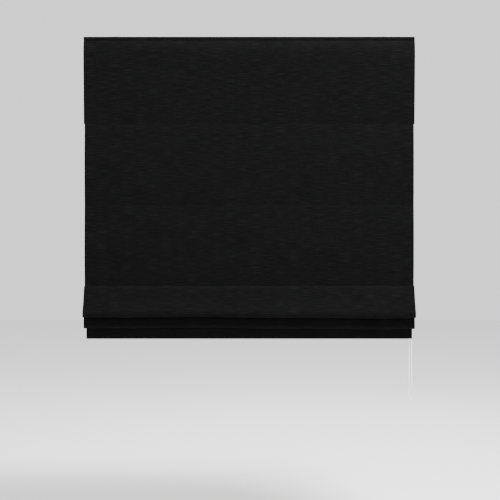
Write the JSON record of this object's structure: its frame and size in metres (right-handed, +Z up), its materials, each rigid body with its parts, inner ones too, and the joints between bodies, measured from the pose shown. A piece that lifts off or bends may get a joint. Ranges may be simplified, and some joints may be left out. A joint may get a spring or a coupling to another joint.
{
  "type": "roman blind",
  "caption": "Chain-operated Roman blind for a recess: lined black fabric hung in soft pockets from an aluminium headrail, partly raised.",
  "frame": {"origin": "centre of the upper face of the two brackets, where the blind is screwed up into the top of the recess", "axes": "+X to the right of a person facing the blind (the control side), -Y to the room, +Z up"},
  "size_m": [1, 0.0723, 1.102],
  "materials": {
    "black_fabric": "matte",
    "lining_tape": "matte",
    "loop_tape": "matte",
    "rail_aluminium": "satin",
    "bar_aluminium": "satin",
    "bracket_steel": "satin",
    "shaft_steel": "satin",
    "spring_steel": "satin",
    "white_plastic": "satin",
    "drum_plastic": "satin",
    "clear_plastic": "gloss",
    "rod_fibreglass": "satin",
    "cord_white": "matte"
  },
  "bodies": {
    "headrail_set": {"headrail": "rail_aluminium", "bracket_left": "bracket_steel", "bracket_right": "bracket_steel", "hook_tape": "loop_tape", "loop_tape": "loop_tape", "drum_cradles": "white_plastic", "end_cap_left": "white_plastic", "control_housing": "white_plastic", "control_cover": "white_plastic", "clutch_core": "drum_plastic", "clutch_spring": "spring_steel", "chain": "clear_plastic", "fabric_1_upper": "black_fabric", "lift_cords_1": "cord_white"},
    "drive": {"drive_shaft": "shaft_steel", "cord_drums": "drum_plastic", "chain_wheel": "drum_plastic"},
    "fold_1_body": {"fabric_1_lower": "black_fabric"},
    "rod_1_body": {"rod_1": "rod_fibreglass", "rod_sleeve_1": "lining_tape", "rod_caps_1": "clear_plastic", "cord_rings_1": "clear_plastic", "fabric_2_upper": "black_fabric", "lift_cords_2": "cord_white"},
    "fold_2_body": {"fabric_2_lower": "black_fabric"},
    "rod_2_body": {"rod_2": "rod_fibreglass", "rod_sleeve_2": "lining_tape", "rod_caps_2": "clear_plastic", "cord_rings_2": "clear_plastic", "fabric_3_upper": "black_fabric", "lift_cords_3": "cord_white"},
    "fold_3_body": {"fabric_3_lower": "black_fabric"},
    "rod_3_body": {"rod_3": "rod_fibreglass", "rod_sleeve_3": "lining_tape", "rod_caps_3": "clear_plastic", "cord_rings_3": "clear_plastic", "fabric_4_upper": "black_fabric"},
    "fold_4_body": {"fabric_4_lower": "black_fabric"},
    "rod_4_body": {"rod_4": "rod_fibreglass", "rod_sleeve_4": "lining_tape", "rod_caps_4": "clear_plastic", "cord_rings_4": "clear_plastic", "fabric_5_upper": "black_fabric", "lift_cords_4": "cord_white"},
    "fold_5_body": {"fabric_5_lower": "black_fabric"},
    "rod_5_body": {"rod_5": "rod_fibreglass", "rod_sleeve_5": "lining_tape", "rod_caps_5": "clear_plastic", "cord_rings_5": "clear_plastic", "lift_cords_5": "cord_white", "skirt": "black_fabric", "bottom_bar": "bar_aluminium", "bottom_bar_caps": "clear_plastic", "cord_locks": "clear_plastic"}
  },
  "joints": [
    {"name": "fold_1_raise", "type": "slide", "parent": "headrail_set", "child": "fold_1_body", "axis": [0, -0.9453, 0.3262], "range_m": [0, 0.07405]},
    {"name": "rod_1_raise", "type": "slide", "parent": "fold_1_body", "child": "rod_1_body", "axis": [0, 0.3508, 0.9364], "range_m": [0, 0.19953], "deforming": ["fabric_1_upper", "fabric_1_lower", "lift_cords_1"]},
    {"name": "fold_2_raise", "type": "slide", "parent": "rod_1_body", "child": "fold_2_body", "axis": [0, -0.9649, 0.2627], "range_m": [0, 0.06633]},
    {"name": "rod_2_raise", "type": "slide", "parent": "fold_2_body", "child": "rod_2_body", "axis": [0, 0.2804, 0.9599], "range_m": [0, 0.22823], "deforming": ["fabric_2_upper", "fabric_2_lower", "lift_cords_2"]},
    {"name": "fold_3_raise", "type": "slide", "parent": "rod_2_body", "child": "fold_3_body", "axis": [0, -0.9727, 0.2321], "range_m": [0, 0.0586]},
    {"name": "rod_3_raise", "type": "slide", "parent": "fold_3_body", "child": "rod_3_body", "axis": [0, 0.2477, 0.9688], "range_m": [0, 0.23008], "deforming": ["fabric_3_upper", "fabric_3_lower", "lift_cords_3"]},
    {"name": "fold_4_lower", "type": "slide", "parent": "rod_3_body", "child": "fold_4_body", "axis": [0, 0.6306, -0.7761], "range_m": [0, 0.04123]},
    {"name": "rod_4_lower", "type": "slide", "parent": "fold_4_body", "child": "rod_4_body", "axis": [0, -0.1261, -0.992], "range_m": [0, 0.20615], "deforming": ["fabric_4_upper", "fabric_4_lower", "lift_cords_4"]},
    {"name": "fold_5_lower", "type": "slide", "parent": "rod_4_body", "child": "fold_5_body", "axis": [0, 0, -1], "range_m": [0, 0.004]},
    {"name": "rod_5_lower", "type": "slide", "parent": "fold_5_body", "child": "rod_5_body", "axis": [0, 0, -1], "range_m": [0, 0.2325], "deforming": ["fabric_5_upper", "fabric_5_lower", "lift_cords_5"]},
    {"name": "drive_turn", "type": "hinge", "parent": "headrail_set", "child": "drive", "pos_m": [0, 0.004, -0.023], "axis": [1, 0, 0], "range_deg": [-3267.9, 0]}
  ],
  "couplings": [
    {"joint": "fold_1_raise", "follows": "rod_1_raise", "ratio": 0.37113},
    {"joint": "fold_2_raise", "follows": "rod_1_raise", "ratio": 0.33244},
    {"joint": "rod_2_raise", "follows": "rod_1_raise", "ratio": 1.1439},
    {"joint": "fold_3_raise", "follows": "rod_1_raise", "ratio": 0.2937},
    {"joint": "rod_3_raise", "follows": "rod_1_raise", "ratio": 1.1531},
    {"joint": "fold_4_lower", "follows": "rod_4_lower", "ratio": 0.20001},
    {"joint": "fold_5_lower", "follows": "rod_4_lower", "ratio": 0.019404},
    {"joint": "rod_5_lower", "follows": "rod_4_lower", "ratio": 1.1278},
    {"joint": "drive_turn", "follows": "rod_1_raise", "rad_per_m": -285.68}
  ]
}
